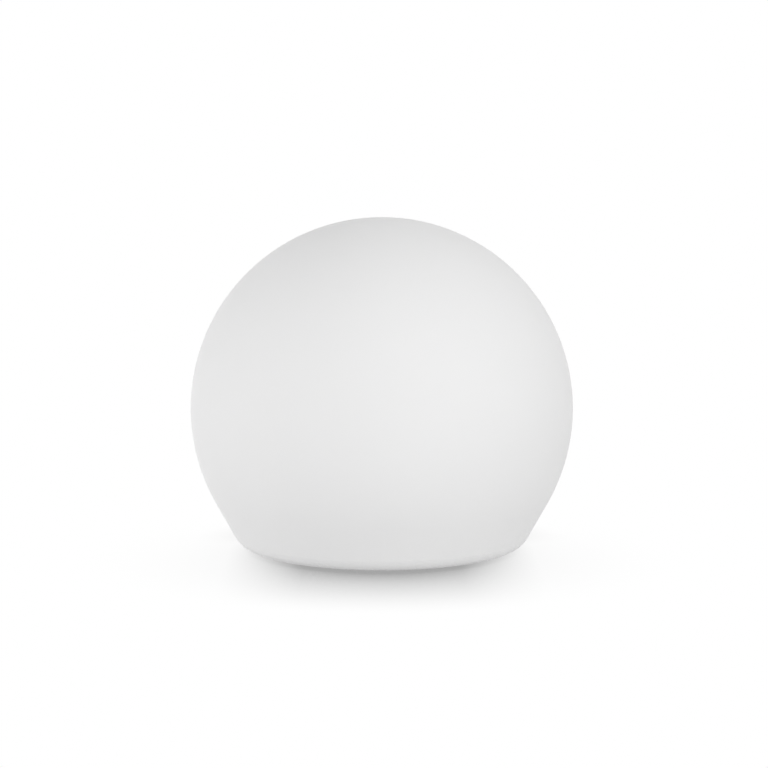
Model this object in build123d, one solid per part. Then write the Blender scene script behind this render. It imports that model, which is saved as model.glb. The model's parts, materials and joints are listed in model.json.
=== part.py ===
from build123d import *
import math
import os

# Cordless garden globe light, in millimetres. The origin is on the ground at the middle of the foot, +Z is
# up and -Y is the front. A white globe lifts off a sealed module, which sits in a recess of the globe's foot.
# The sizes chain outwards: the battery pack sets the bay, and the bay sets the neck, collar and mouth.

# ---- Driving sizes: globe ----
globe_radius = 150.0
globe_wall = 3.0
flank_angle = 29.0  # degrees below the equator where the ball turns into the straight flank
foot_land = 27.8  # rebate's edge to the sharp corner where the flank would meet the ground
foot_bend = 18.0
rebate_bend = 4.0
rebate_corner_bend = 2.0
rebate_depth = 13.0
rebate_clearance = 2.0
ledge_width = 16.5

# ---- Driving sizes: fits ----
thread_clearance = 0.05
hole_clearance = 0.2
running_gap = 0.7  # between the module's neck and the collar
mouth_gap = 1.5
mouth_chamfer = 0.6
seat_gap = 0.1
bore_spare = 0.5  # below a screw's or plunger's tip
past = 1.0  # how far a cut or a joined piece runs past the face it meets
tiny = 1e-6

# ---- Driving sizes: collar and its fasteners ----
collar_wall = 3.5
collar_flange = 4.0
collar_height = 22.0
collar_lead_in = 0.8
collar_chamfer = 0.5
gasket_thickness = 1.5
gasket_margin = 1.2
insert_radius = 3.0
insert_length = 8.0
insert_boss_wall = 3.5
insert_groove = 0.4
collar_screw_count = 6
collar_screw_radius = 2.0
collar_screw_length = 12.0
collar_head_radius = 3.8
latch_groove_depth = 1.8
latch_groove_height = 3.4

# ---- Driving sizes: battery pack ----
cell_diameter = 18.4
cell_length = 65.0
cell_cap_radius = 4.0
cell_cap_length = 1.0
cell_bend = 0.8
cell_fit = 0.2
cell_web = 0.4
holder_wall = 1.4
holder_floor = 1.5
holder_height = 12.0
holder_web_drop = 3.5  # cells' axes to the top of the web between them
tab_thickness = 0.3
tab_width = 8.0
pack_front = 1.5
pad_thickness = 1.6
pad_inset = 5.0
protection_thickness = 1.2
protection_length = 50.0
protection_height = 14.0
protection_lift = 2.0

# ---- Driving sizes: base pan ----
foot_gap = 1.5  # ground to the underside of the foot
pad_radius = 7.0
pad_height = 3.0
pad_bend = 0.6
cup_wall = 1.5
pad_circle_inset = 10.3
pad_count = 4
pan_rim = 2.5
pan_plate = 2.5
pocket_wall = 2.5
pocket_inset = 8.2  # bay wall to the pocket's inner wall
pocket_depth = 15.5
pocket_ceiling = 2.5
rib_count = 12
rib_thickness = 1.6
rib_clearance = 1.0
neck_wall = 2.6
bay_clearance = 4.0
pan_bend = 0.8
pan_chamfer = 0.5
seal_section = 1.5
seal_lift = 6.75
seal_land = 2.5
seal_groove_spare = 0.25
seal_squeeze_gap = 0.1

# ---- Driving sizes: spring catches ----
catch_count = 3
catch_width = 10.0
catch_thickness = 0.5
catch_nose_reach = 1.4
catch_leg = 14.5
catch_leg_bend = 2.0
catch_nose_bend = 1.0
catch_tail = 0.5  # how far the nose's lower end stands off the leg's plane
window_drop = 5.0
window_rise = 6.0
window_margin = 1.0
rivet_edge = 1.0
catch_rivet_radius = 1.2
catch_rivet_spacing = 6.0
rivet_head_radius = 2.0
rivet_head_height = 0.8

# ---- Driving sizes: cover ----
cover_thickness = 3.0
cover_gasket_thickness = 1.0
cover_gasket_inset = 0.3
cover_chamfer = 0.6
cover_boss_radius = 4.0
cover_screw_count = 6
cover_screw_length = 10.0
machine_screw_radius = 1.5
pan_head_radius = 2.8
pan_head_height = 1.8
grommet_radius = 3.5
grommet_lip = 1.2
grommet_lip_height = 0.8
lead_radius = 0.8
lead_pitch = 2.6
lead_bend = 1.8
lead_exit = 0.6
lead_inset = 5.5  # light board's edge to the middle of the leads
socket_lead_radius = 0.6

# ---- Driving sizes: control board ----
board_length = 72.0
board_edge = 1.2  # board's front edge to the light lead's plug
board_thickness = 1.6
board_bend = 2.0
board_back = -5.0
board_lift = 11.5
charger_chip = (-20.0, 12.0, 7.0, 1.4)  # x, distance from the board's back edge, side, height
driver_chip = (2.0, 14.0, 9.0, 1.4)
controller_chip = (22.0, 27.0, 5.0, 1.6)
sensing_chip = (-10.0, 27.0, 4.0, 1.2)
capacitor_spots = [(-25.0, 24.0), (-17.0, 29.0), (16.0, 8.0)]  # x, distance from the back edge
inductor_spot = (16.0, 19.0)
capacitor_radius = 3.1
capacitor_height = 5.4
inductor_side = 10.0
inductor_height = 4.0
post_radius = 3.0
plug_length = 7.5
plug_width = 4.6
plug_height = 5.5
plug_bend = 0.5
plug_inset = 4.5
post_inset_x = 4.0
post_inset_y = 4.5
board_screw_length = 6.0

# ---- Driving sizes: button ----
button_x = -18.0
button_y = -22.0
button_radius = 6.0
button_fit = 0.3
button_bend = 0.8
dish_depth = 0.5
button_drop = 3.5  # how far the cap stands below the pocket's ceiling
button_flange = 1.5
button_flange_thickness = 1.5
button_travel = 1.5
bezel_radius = 9.5
bezel_height = 1.5
bezel_bend = 0.6
button_seal_section = 0.45
spring_radius = 3.6
spring_wire = 0.3
spring_turns = 5
spring_seat_depth = 6.0
spring_room = 0.6  # round the spring in its well
stem_radius = 1.7
stem_fit = 0.1
stem_length = 5.5
stem_chamfer = 0.3
switch_side = 8.0
switch_height = 7.0

# ---- Driving sizes: charging socket and flap ----
socket_x = 18.0
socket_y = -22.0
socket_radius = 4.0
socket_bore = 2.75
socket_flange_radius = 5.5
socket_flange_thickness = 1.5
socket_length = 11.5
socket_bore_depth = 9.5
socket_pin_radius = 1.0
socket_pin_recess = 2.2
lug_width = 1.6
lug_thickness = 0.6
lug_length = 1.6
lug_pitch = 4.0
nut_across_corners = 6.5
nut_height = 2.5
flap_width = 13.0
flap_thickness = 2.0
flap_reach = 6.5
flap_bend = 3.0
flap_gap = 0.2
hinge_distance = 7.7
hinge_pin_radius = 0.75
hinge_fit = 0.05
knuckle_radius = 1.6
knuckle_half = 3.6
ear_gap = 0.2
ear_thickness = 2.2
bung_radius = 2.3
bung_depth = 1.8
bung_bend = 0.4
bung_stem_radius = 1.2

# ---- Driving sizes: charging light ----
pipe_x = 0.0
pipe_y = -33.0
pipe_radius = 1.5
pipe_flange_radius = 2.5
pipe_flange_thickness = 1.0
led_side = 2.4
led_height = 1.0

# ---- Driving sizes: light source ----
fin_gap = 1.0
fin_height = 9.0
fin_count = 24
fin_thickness = 1.6
fin_inner = 22.0
fin_inset = 7.5  # from the heat sink's edge
hub_wall = 2.5
sink_thickness = 4.0
sink_margin = 3.3  # neck's outside to the heat sink's edge
sink_chamfer = 0.8
sink_post_circle = 34.0
sink_post_radius = 3.6
sink_post_count = 4
sink_screw_length = 11.0
pad_sheet = 0.5
led_board_gap = 1.5  # light board's edge to the dome
led_screw_length = 5.0
led_board_lead_hole = 3.0
led_connector_height = 4.2
package_side = 5.0
package_height = 1.6
inner_led_circle = 14.0
inner_led_count = 6
outer_led_inset = 11.0  # from the light board's edge
outer_led_count = 12
phosphor_radius = 2.0
phosphor_depth = 0.4
connector_setback = 6.0  # leads to the light board's plug
dome_wall = 2.0
dome_rise = 25.0
dome_flange = 4.5
dome_flange_thickness = 2.0
dome_gasket_thickness = 1.0
ring_lip = 3.0
ring_band = 6.5  # dome's flange to the heat sink's edge, where the ring's screws stand
ring_thickness = 1.8
ring_chamfer = 0.6
ring_screw_count = 6
ring_screw_length = 7.5

# ---- Heights that follow ----
rebate_ceiling = foot_gap + rebate_depth
flange_high = rebate_ceiling - gasket_thickness
flange_low = flange_high - collar_flange
pan_low = flange_low - pan_plate
pocket_top = foot_gap + pocket_depth
bay_low = pocket_top + pocket_ceiling
cell_axis_z = bay_low + holder_floor + cell_diameter / 2
cover_low = bay_low + holder_floor + cell_diameter + pad_thickness
neck_top = cover_low - cover_gasket_thickness
cover_high = cover_low + cover_thickness
board_low = bay_low + board_lift
board_high = board_low + board_thickness
sink_low = cover_high + fin_gap + fin_height
sink_high = sink_low + sink_thickness
led_board_low = sink_high + pad_sheet
led_board_high = led_board_low + board_thickness
dome_flange_low = sink_high + dome_gasket_thickness
dome_flange_high = dome_flange_low + dome_flange_thickness
ring_high = dome_flange_high + ring_thickness

# ---- Radii that follow, from the pack outwards ----
row_pitch = cell_diameter + cell_web
row_y = [pack_front + holder_wall + cell_fit + cell_diameter / 2]
row_y.append(row_y[0] + row_pitch)
pack_back = row_y[1] + cell_diameter / 2 + cell_fit + holder_wall
pack_half = cell_length / 2 + tab_thickness + cell_fit + holder_wall
bay_radius = math.hypot(pack_half, pack_back) + bay_clearance
neck_radius = bay_radius + neck_wall
collar_inner = neck_radius + running_gap
collar_outer = collar_inner + collar_wall
mouth_radius = collar_outer + mouth_gap
rebate_radius = mouth_radius + ledge_width
flange_radius = rebate_radius - rebate_clearance
pocket_radius = bay_radius - pocket_inset
flank_slope = math.tan(math.radians(flank_angle))
flank_top = globe_radius * math.cos(math.radians(flank_angle))
flank_drop = (flank_top - rebate_radius - foot_land) / flank_slope
equator_height = foot_gap + flank_drop + globe_radius * math.sin(math.radians(flank_angle))
insert_circle = (mouth_radius + rebate_radius) / 2
pad_circle = flange_radius - pad_circle_inset
seal_height = flange_low + seal_lift
seal_circle = collar_inner - seal_squeeze_gap - seal_section
cover_radius = neck_radius - hole_clearance
cover_boss_circle = bay_radius - cover_boss_radius + neck_wall / 4
sink_radius = neck_radius - sink_margin
fin_outer = sink_radius - fin_inset
dome_flange_radius = sink_radius - ring_band
dome_inner = dome_flange_radius - dome_flange - dome_wall
led_board_radius = dome_inner - led_board_gap
outer_led_circle = led_board_radius - outer_led_inset
led_board_screw_circle = (inner_led_circle + outer_led_circle) / 2
lead_y = lead_inset - led_board_radius
connector_y = lead_y + connector_setback
board_front = lead_y - plug_width / 2 - board_edge
post_x = board_length / 2 - post_inset_x
post_ys = [board_back - post_inset_y, board_front + post_inset_y]
ring_screw_circle = (dome_flange_radius + sink_radius) / 2
latch_z = seal_height + seal_section + collar_wall + latch_groove_height / 2

UP = (Align.CENTER, Align.CENTER, Align.MIN)


def disc(radius, low, high, x=0.0, y=0.0):
    """An upright cylinder between two heights."""
    return Pos(x, y, low) * Cylinder(radius, high - low, align=UP)


def ring(outer, inner, low, high, x=0.0, y=0.0):
    """A plain upright ring between two heights."""
    return disc(outer, low, high, x, y) - disc(inner, low, high, x, y)


def block(x_low, x_high, y_low, y_high, z_low, z_high):
    """A box between its lowest and highest corners."""
    middle = ((x_low + x_high) / 2, (y_low + y_high) / 2, z_low)
    return Pos(*middle) * Box(x_high - x_low, y_high - y_low, z_high - z_low, align=UP)


def lathe(*points):
    """A turned solid from its half section, given as (radius, height) corners."""
    section = make_face(Polyline(*points, close=True))
    return revolve(Plane.XZ * section, Axis.Z)


def around(count, radius, start=0.0):
    """Places evenly spaced on a circle about the upright axis, each turned to face outwards."""
    return list(PolarLocations(radius, count, start_angle=start))


def copies(places, shape):
    """The same shape at each of the places."""
    return [place * shape for place in places]


def hexagon(corner_radius, low, high):
    """An upright hexagonal prism on the axis."""
    return Pos(0, 0, low) * extrude(RegularPolygon(corner_radius, 6), high - low)


def pan_screw(seat, length, radius=machine_screw_radius):
    """A pan head screw on the axis: its head stands on the seat height and its shank points down."""
    head = disc(pan_head_radius, seat, seat + pan_head_height)
    head = fillet(head.edges().group_by(Axis.Z)[-1], pan_head_height / 3)
    socket = hexagon(pan_head_radius / 2, seat + pan_head_height / 2, seat + pan_head_height)
    return head + disc(radius, seat - length, seat) - socket


def flat_screw(seat, length, radius, head_radius):
    """A countersunk screw on the axis: its flat head is flush with the seat height and it points up."""
    cone_top = seat + head_radius - radius
    end = seat + length
    body = lathe((0, seat), (head_radius, seat), (radius, cone_top), (radius, end), (0, end))
    return body - hexagon(radius, seat, seat + radius * 0.8)


def flat_hole(seat, depth, radius, head_radius):
    """The countersunk hole that a flat screw goes through, open below the seat."""
    gap = hole_clearance
    return lathe(
        (0, seat - past),
        (head_radius + gap, seat - past),
        (head_radius + gap, seat),
        (radius + gap, seat + head_radius - radius),
        (radius + gap, seat + depth),
        (0, seat + depth),
    )


def rims(shape, radius, height):
    """The shape's round edges of one radius at one height."""
    circles = shape.edges().filter_by(GeomType.CIRCLE)
    level = [edge for edge in circles if abs(edge.center().Z - height) < tiny]
    return [edge for edge in level if abs(edge.radius - radius) < tiny]


def wire(points, bend, radius):
    """A round lead along straight runs joined by arcs of one radius."""
    path = FilletPolyline(*points, radius=bend)
    return sweep(Plane(path @ 0, z_dir=path % 0) * Circle(radius), path=path)


def save(node, *shapes):
    """Writes one sub-part, which may be several separate solids."""
    solids = [solid for shape in shapes for solid in shape.solids()]
    export_step(Compound(solids), f"parts/{node}.step")


# ================= Globe, lifts off =================

collar_screw_places = around(collar_screw_count, insert_circle, 90 / collar_screw_count)


def globe_section(inset):
    """Half section of the globe, drawn inset from its outside."""
    radius = globe_radius - inset
    angle = math.radians(flank_angle)
    floor = foot_gap + inset
    ledge = rebate_ceiling + inset
    flank_x = radius * math.cos(angle)
    flank_z = equator_height - radius * math.sin(angle)
    corner = flank_x - (flank_z - floor) * flank_slope
    ball = CenterArc((0, equator_height), radius, 90, -90 - flank_angle)
    foot = FilletPolyline(
        ball @ 1,
        (corner, floor),
        (rebate_radius + inset, floor),
        (rebate_radius + inset, ledge),
        (0, ledge),
        radius=[foot_bend - inset, rebate_bend - inset, rebate_corner_bend + inset],
    )
    return make_face([ball, foot, Line((0, ledge), (0, equator_height + radius))])


def make_globe():
    """The white skin with its mouth, and inside on the ledge the bosses that hold the brass inserts."""
    outside = revolve(Plane.XZ * globe_section(0), Axis.Z)
    inside = revolve(Plane.XZ * globe_section(globe_wall), Axis.Z)
    skin = outside - inside
    ledge_high = rebate_ceiling + globe_wall
    insert_high = rebate_ceiling + insert_length
    boss_high = insert_high + insert_boss_wall
    boss = disc(insert_radius + insert_boss_wall, ledge_high - globe_wall / 2, boss_high)
    boss = fillet(boss.edges().group_by(Axis.Z)[-1], insert_boss_wall / 2)
    skin = skin + copies(collar_screw_places, boss)
    skin = skin - copies(collar_screw_places, disc(insert_radius, rebate_ceiling, insert_high))
    skin = skin - disc(mouth_radius, 0, boss_high + past)
    return chamfer(rims(skin, mouth_radius, ledge_high), mouth_chamfer)


def make_inserts():
    """Brass nuts moulded into the ledge."""
    bore = collar_screw_radius + thread_clearance
    nut = ring(insert_radius, bore, rebate_ceiling, rebate_ceiling + insert_length)
    groove_low = rebate_ceiling + 2 * insert_length / 5
    groove = ring(insert_radius, insert_radius - insert_groove, groove_low, groove_low + insert_length / 5)
    return copies(collar_screw_places, nut - groove)


def make_collar():
    """Flange under the ledge and a neck up through the mouth, with the groove that the catches snap into."""
    lead_in = running_gap + collar_lead_in
    high = flange_low + collar_height
    groove_low = latch_z - latch_groove_height / 2
    groove_high = latch_z + latch_groove_height / 2
    groove = collar_inner + latch_groove_depth
    collar = lathe(
        (collar_inner + lead_in, flange_low),
        (flange_radius - collar_chamfer, flange_low),
        (flange_radius, flange_low + collar_chamfer),
        (flange_radius, flange_high),
        (collar_outer, flange_high),
        (collar_outer, high - collar_chamfer),
        (collar_outer - collar_chamfer, high),
        (collar_inner, high),
        (collar_inner, groove_high + latch_groove_depth / 2),
        (groove, groove_high),
        (groove, groove_low),
        (collar_inner, groove_low - latch_groove_depth / 2),
        (collar_inner, flange_low + lead_in),
    )
    hole = flat_hole(flange_low, collar_flange + past, collar_screw_radius, collar_head_radius)
    return collar - copies(collar_screw_places, hole)


def make_collar_gasket():
    """Flat ring squeezed between the flange and the ledge."""
    outer = rebate_radius - rebate_corner_bend - gasket_margin
    gasket = ring(outer, mouth_radius + gasket_margin, flange_high, rebate_ceiling)
    hole = disc(collar_screw_radius + hole_clearance, flange_high, rebate_ceiling)
    return gasket - copies(collar_screw_places, hole)


def make_collar_screws():
    """Countersunk screws from below into the inserts."""
    screw = flat_screw(flange_low, collar_screw_length, collar_screw_radius, collar_head_radius)
    return copies(collar_screw_places, screw)


# ================= Base pan and what is fixed to it =================

catch_places = around(catch_count, 0, 180 / catch_count)
cover_boss_places = around(cover_screw_count, cover_boss_circle, 180 / cover_screw_count)
pad_places = around(pad_count, pad_circle, 180 / pad_count)
sink_post_places = around(sink_post_count, sink_post_circle, 180 / sink_post_count)
post_places = [Pos(side * post_x, y, 0) for side in (-1, 1) for y in post_ys]
window_low = latch_z - window_drop
window_high = latch_z + window_rise
rivet_z = latch_z + catch_leg - rivet_head_radius - rivet_edge


def make_pan():
    """Rim, plate, pocket and neck in one moulding, with the feet's cups, ribs, posts and screw bosses."""
    groove_half = seal_section + seal_groove_spare
    land_high = seal_height + groove_half + seal_land
    groove_floor = seal_circle - seal_section
    land_inner = groove_floor - seal_land
    pan = ring(flange_radius, land_inner, pan_low, flange_low)
    pan += ring(flange_radius, flange_radius - pan_rim, foot_gap, flange_low)
    pan += ring(pocket_radius + pocket_wall, pocket_radius, foot_gap, bay_low)
    pan += disc(pocket_radius + pocket_wall, pocket_top, bay_low)
    pan += ring(neck_radius, bay_radius, pan_low, neck_top)
    pan += ring(neck_radius, land_inner, pan_low, land_high)
    pan += ring(land_inner + past, pocket_radius, pocket_top, bay_low)
    rib_low = foot_gap + rib_clearance
    rib_half = rib_thickness / 2
    rib = block(pocket_radius + past, flange_radius - past, -rib_half, rib_half, rib_low, pan_low + past)
    pan += copies(around(rib_count, 0), rib)
    cup = disc(pad_radius + cup_wall, foot_gap, pan_low + past)
    pan += copies(pad_places, cup)
    pan += copies(cover_boss_places, disc(cover_boss_radius, bay_low - past, neck_top))
    pan += copies(post_places, disc(post_radius, bay_low - past, board_low))
    pan += disc(bezel_radius, pocket_top - bezel_height, bay_low, button_x, button_y)
    pan += make_ears()
    pan -= ring(neck_radius + past, groove_floor, seal_height - groove_half, seal_height + groove_half)
    pan -= copies(pad_places, disc(pad_radius + seat_gap, 0, pad_height))
    bore = machine_screw_radius + thread_clearance
    pan -= copies(cover_boss_places, disc(bore, cover_high - cover_screw_length - bore_spare, neck_top))
    pan -= copies(post_places, disc(bore, board_high - board_screw_length - bore_spare, board_low))
    pan -= disc(button_radius + button_fit, 0, bay_low, button_x, button_y)
    pan -= disc(socket_radius + hole_clearance, 0, bay_low, socket_x, socket_y)
    pan -= disc(pipe_radius + thread_clearance, 0, bay_low, pipe_x, pipe_y)
    half = catch_width / 2 + window_margin
    window = block(bay_radius - past, neck_radius + past, -half, half, window_low, window_high)
    pan -= copies(catch_places, window)
    pan -= copies(catch_places, rivet_holes())
    low_rims = rims(pan, flange_radius, foot_gap) + rims(pan, pocket_radius, foot_gap)
    pan = fillet(low_rims, pan_bend)
    pan = fillet(rims(pan, bezel_radius, pocket_top - bezel_height), bezel_bend)
    pan = chamfer(rims(pan, flange_radius, flange_low), pan_chamfer)
    return chamfer(rims(pan, neck_radius, neck_top), cover_gasket_inset)


def make_ears():
    """Two rounded ears under the pocket's ceiling that hold the flap's pin."""
    ears = []
    for side in (-1, 1):
        middle = socket_x + side * (knuckle_half + ear_gap + ear_thickness / 2)
        half = ear_thickness / 2
        axle = Pos(middle, hinge_y, hinge_z) * Rot(0, 90, 0)
        front, back = hinge_y - knuckle_radius, hinge_y + knuckle_radius
        ear = block(middle - half, middle + half, front, back, hinge_z, pocket_top + past)
        ear += axle * Cylinder(knuckle_radius, ear_thickness)
        ears.append(ear - axle * Cylinder(pin_bore, ear_thickness))
    return ears


def rivet_holes():
    """Holes and outer recesses for one catch's rivets, at the angle zero."""
    cuts = []
    for side in (-1, 1):
        place = Pos(0, side * catch_rivet_spacing / 2, rivet_z) * Rot(0, 90, 0)
        bore = catch_rivet_radius + thread_clearance
        hole = Pos(0, 0, bay_radius - past) * Cylinder(bore, neck_wall + 2 * past, align=UP)
        recess_start = neck_radius - rivet_head_height
        recess = Pos(0, 0, recess_start) * Cylinder(rivet_head_radius + seat_gap, 2 * past, align=UP)
        cuts.append(place * (hole + recess))
    return cuts[0] + cuts[1]


def make_feet():
    """Rubber pads with a rounded lower edge, in their cups."""
    pad = disc(pad_radius, 0, pad_height)
    pad = fillet(pad.edges().group_by(Axis.Z)[0], pad_bend)
    return copies(pad_places, pad)


def make_seal_ring():
    """Round silicone ring in the neck's groove."""
    return Pos(0, 0, seal_height) * Torus(seal_circle, seal_section)


def catch_leg_radius():
    """Middle of a catch's flat leg, whose two edges lie on the bay's round wall."""
    return math.sqrt(bay_radius**2 - (catch_width / 2) ** 2) - seat_gap / 2 - catch_thickness / 2


def make_catches():
    """Spring strips: a leg riveted inside the neck, and a nose out through the window into the groove."""
    leg = catch_leg_radius()
    nose = collar_inner + catch_nose_reach - catch_thickness / 2
    middle = FilletPolyline(
        (leg, latch_z + catch_leg),
        (leg, latch_z + nose - leg),
        (nose, latch_z),
        (leg + catch_tail, latch_z - (nose - leg) + catch_tail),
        radius=[catch_leg_bend, catch_nose_bend],
    )
    strip = extrude(Plane.XZ * trace(middle, line_width=catch_thickness), catch_width / 2, both=True)
    for side in (-1, 1):
        place = Pos(0, side * catch_rivet_spacing / 2, rivet_z) * Rot(0, 90, 0)
        strip -= place * Cylinder(catch_rivet_radius + thread_clearance, neck_radius + 5, align=UP)
    return copies(catch_places, strip)


def make_rivets():
    """Rivets through strip and neck: a round head inside, a flush one outside."""
    head_start = catch_leg_radius() - catch_thickness / 2 - rivet_head_height
    shank_end = neck_radius - seat_gap
    rivets = []
    for side in (-1, 1):
        place = Pos(0, side * catch_rivet_spacing / 2, rivet_z) * Rot(0, 90, 0)
        rivet = Pos(0, 0, head_start) * Cylinder(rivet_head_radius, rivet_head_height, align=UP)
        rivet += Pos(0, 0, head_start) * Cylinder(catch_rivet_radius, shank_end - head_start, align=UP)
        flush = neck_radius - rivet_head_height
        rivet += Pos(0, 0, flush) * Cylinder(rivet_head_radius, shank_end - flush, align=UP)
        rivets += copies(catch_places, place * rivet)
    return rivets


# ================= Cover =================


def lead_places():
    """The two wires' places across the lead hole."""
    return [Pos(side * lead_pitch / 2, lead_y, 0) for side in (-1, 1)]


def make_cover():
    """Flat lid of the bay, with a hole for the leads and countersinks under the heat sink's posts."""
    cover = disc(cover_radius, cover_low, cover_high)
    cover = chamfer(cover.edges().group_by(Axis.Z)[-1], cover_chamfer)
    hole = disc(machine_screw_radius + hole_clearance, cover_low, cover_high)
    cover -= copies(cover_boss_places, hole)
    cover -= disc(grommet_radius, cover_low, cover_high, 0, lead_y)
    sink_hole = flat_hole(cover_low, cover_thickness, machine_screw_radius, pan_head_radius)
    return cover - copies(sink_post_places, sink_hole)


def make_cover_gasket():
    """Flat gasket on the neck, with an ear round each screw boss."""
    edge = cover_gasket_inset
    gasket = ring(neck_radius - edge, bay_radius + edge, neck_top, cover_low)
    gasket += copies(cover_boss_places, disc(cover_boss_radius - edge, neck_top, cover_low))
    hole = disc(machine_screw_radius + hole_clearance, neck_top, cover_low)
    return gasket - copies(cover_boss_places, hole)


def make_cover_screws():
    """Pan head screws through lid and gasket into the bosses."""
    return copies(cover_boss_places, pan_screw(cover_high, cover_screw_length))


def make_grommet():
    """Rubber grommet with a lip each side of the lid and a bore for each wire."""
    lip_radius = grommet_radius + grommet_lip
    grommet = disc(grommet_radius, cover_low, cover_high, 0, lead_y)
    grommet += disc(lip_radius, cover_high, cover_high + grommet_lip_height, 0, lead_y)
    grommet += disc(lip_radius, cover_low - grommet_lip_height, cover_low, 0, lead_y)
    bore = disc(lead_radius + thread_clearance, cover_low - past, cover_high + past)
    return grommet - copies(lead_places(), bore)


# ================= Battery pack =================


def make_cells():
    """Two cells side by side, laid head to tail."""
    cells = []
    radius = cell_diameter / 2
    for y, side in zip(row_y, (1, -1)):
        can_length = cell_length - cell_cap_length
        can = Cylinder(radius, can_length, align=UP)
        can = fillet(can.edges(), cell_bend)
        cell = can + Pos(0, 0, can_length) * Cylinder(cell_cap_radius, cell_cap_length, align=UP)
        cells.append(Pos(-side * cell_length / 2, y, cell_axis_z) * Rot(0, side * 90, 0) * cell)
    return cells


def make_holder():
    """Tray with a trough for each cell."""
    high = bay_low + holder_height
    tray = block(-pack_half, pack_half, pack_front, pack_back, bay_low, high)
    half = pack_half - holder_wall
    radius = cell_diameter / 2 + seat_gap
    for y in row_y:
        tray -= Pos(0, y, cell_axis_z + seat_gap) * Rot(0, 90, 0) * Cylinder(radius, 2 * half)
    tray -= block(-half, half, row_y[0] - radius, row_y[1] + radius, cell_axis_z, high + past)
    return tray - block(-half, half, *row_y, cell_axis_z - holder_web_drop, high + past)


def make_tabs():
    """Nickel strips: one joins the two cells, two bring the ends out."""
    start = cell_length / 2
    end = start + tab_thickness
    low = cell_axis_z - holder_web_drop + seat_gap
    high = low + tab_width
    link = block(start, end, row_y[0] - tab_width / 2, row_y[1] + tab_width / 2, low, high)
    singles = [block(-end, -start, y - tab_width / 2, y + tab_width / 2, low, high) for y in row_y]
    return [link, *singles]


def make_protection_board():
    """Narrow board on the holder's front wall."""
    low = bay_low + protection_lift
    half = protection_length / 2
    return block(-half, half, pack_front - protection_thickness, pack_front, low, low + protection_height)


def make_cell_pad():
    """Foam sheet that holds the cells down under the lid."""
    half = cell_length / 2 - pad_inset
    front, back = row_y[0] - pad_inset, row_y[1] + pad_inset
    return block(-half, half, front, back, cover_low - pad_thickness, cover_low)


# ================= Control board =================


def make_board():
    """Control board on its four posts."""
    half = board_length / 2
    board = block(-half, half, board_front, board_back, board_low, board_high)
    board = fillet(board.edges().filter_by(Axis.Z), board_bend)
    return board - copies(post_places, disc(machine_screw_radius + hole_clearance, board_low, board_high))


def make_board_screws():
    """Screws that hold the board on its posts."""
    return copies(post_places, pan_screw(board_high, board_screw_length))


def on_board(x, y, width, depth, height, soft=0.0):
    """A part soldered on the board's top, with its upper edges eased where soft is given."""
    part = block(x - width / 2, x + width / 2, y - depth / 2, y + depth / 2, board_high, board_high + height)
    return fillet(part.edges().group_by(Axis.Z)[-1], soft) if soft else part


def make_chips():
    """Charger, driver, controller and sensing chips."""
    chips = (charger_chip, driver_chip, controller_chip, sensing_chip)
    return [on_board(x, board_back - behind, side, side, height) for x, behind, side, height in chips]


def make_capacitors():
    """Round capacitors with a rolled upper edge."""
    caps = []
    for x, behind in capacitor_spots:
        can = disc(capacitor_radius, board_high, board_high + capacitor_height, x, board_back - behind)
        caps.append(fillet(can.edges().group_by(Axis.Z)[-1], capacitor_radius / 5))
    return caps


def make_inductor():
    """Shielded square inductor with a round core."""
    x, y = inductor_spot[0], board_back - inductor_spot[1]
    high = board_high + inductor_height
    core = 0.4 * inductor_side
    shell = on_board(x, y, inductor_side, inductor_side, inductor_height, inductor_side / 10)
    return shell - ring(core, core - 0.5, high - 0.3, high, x, y)


battery_plug = (-10.0, board_back - plug_inset)
socket_plug = (board_length / 2 - plug_inset, socket_y)
lead_plug = (0.0, lead_y)


def make_connectors():
    """Plug housings for the battery, the charging socket and the light source."""
    return [
        on_board(*battery_plug, plug_length, plug_width, plug_height, plug_bend),
        on_board(*socket_plug, plug_width, plug_length, plug_height, plug_bend),
        on_board(*lead_plug, plug_length, plug_width, plug_height, plug_bend),
    ]


# ================= Button =================

button_low = pocket_top - button_drop
button_cap_high = bay_low
button_head_high = button_cap_high + button_flange_thickness
spring_low = button_head_high - spring_seat_depth
switch_low = board_low - switch_height
button_seal_circle = button_radius + button_fit - seat_gap - button_seal_section


def make_button():
    """Cap with a dished face, a flange that keeps it in, and a well for its spring."""
    cap = disc(button_radius, button_low, button_head_high, button_x, button_y)
    cap = fillet(cap.edges().group_by(Axis.Z)[0], button_bend)
    cap += disc(button_radius + button_flange, button_cap_high, button_head_high, button_x, button_y)
    well_outer = spring_radius + spring_wire + spring_room
    well_inner = spring_radius - spring_wire - spring_room
    cap -= ring(well_outer, well_inner, spring_low, button_head_high, button_x, button_y)
    dish_rim = button_radius - 1.5 * button_bend
    dish_radius = (dish_rim**2 + dish_depth**2) / (2 * dish_depth)
    cap -= Pos(button_x, button_y, button_low + dish_depth - dish_radius) * Sphere(dish_radius)
    low = button_groove_z() - button_seal_section - seat_gap / 2
    high = button_groove_z() + button_seal_section + seat_gap / 2
    groove_floor = button_seal_circle - button_seal_section
    return cap - ring(button_radius + past, groove_floor, low, high, button_x, button_y)


def button_groove_z():
    """Height of the cap's seal, which stays inside its bore over the whole travel."""
    return (button_low + button_cap_high) / 2


def make_button_seal():
    """Round ring in the cap's groove."""
    return Pos(button_x, button_y, button_groove_z()) * Torus(button_seal_circle, button_seal_section)


def make_stem():
    """The switch's plunger, which stands on the cap and slides in the switch."""
    stem = disc(stem_radius, button_head_high, button_head_high + stem_length, button_x, button_y)
    return chamfer(stem.edges().group_by(Axis.Z)[-1], stem_chamfer)


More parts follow.
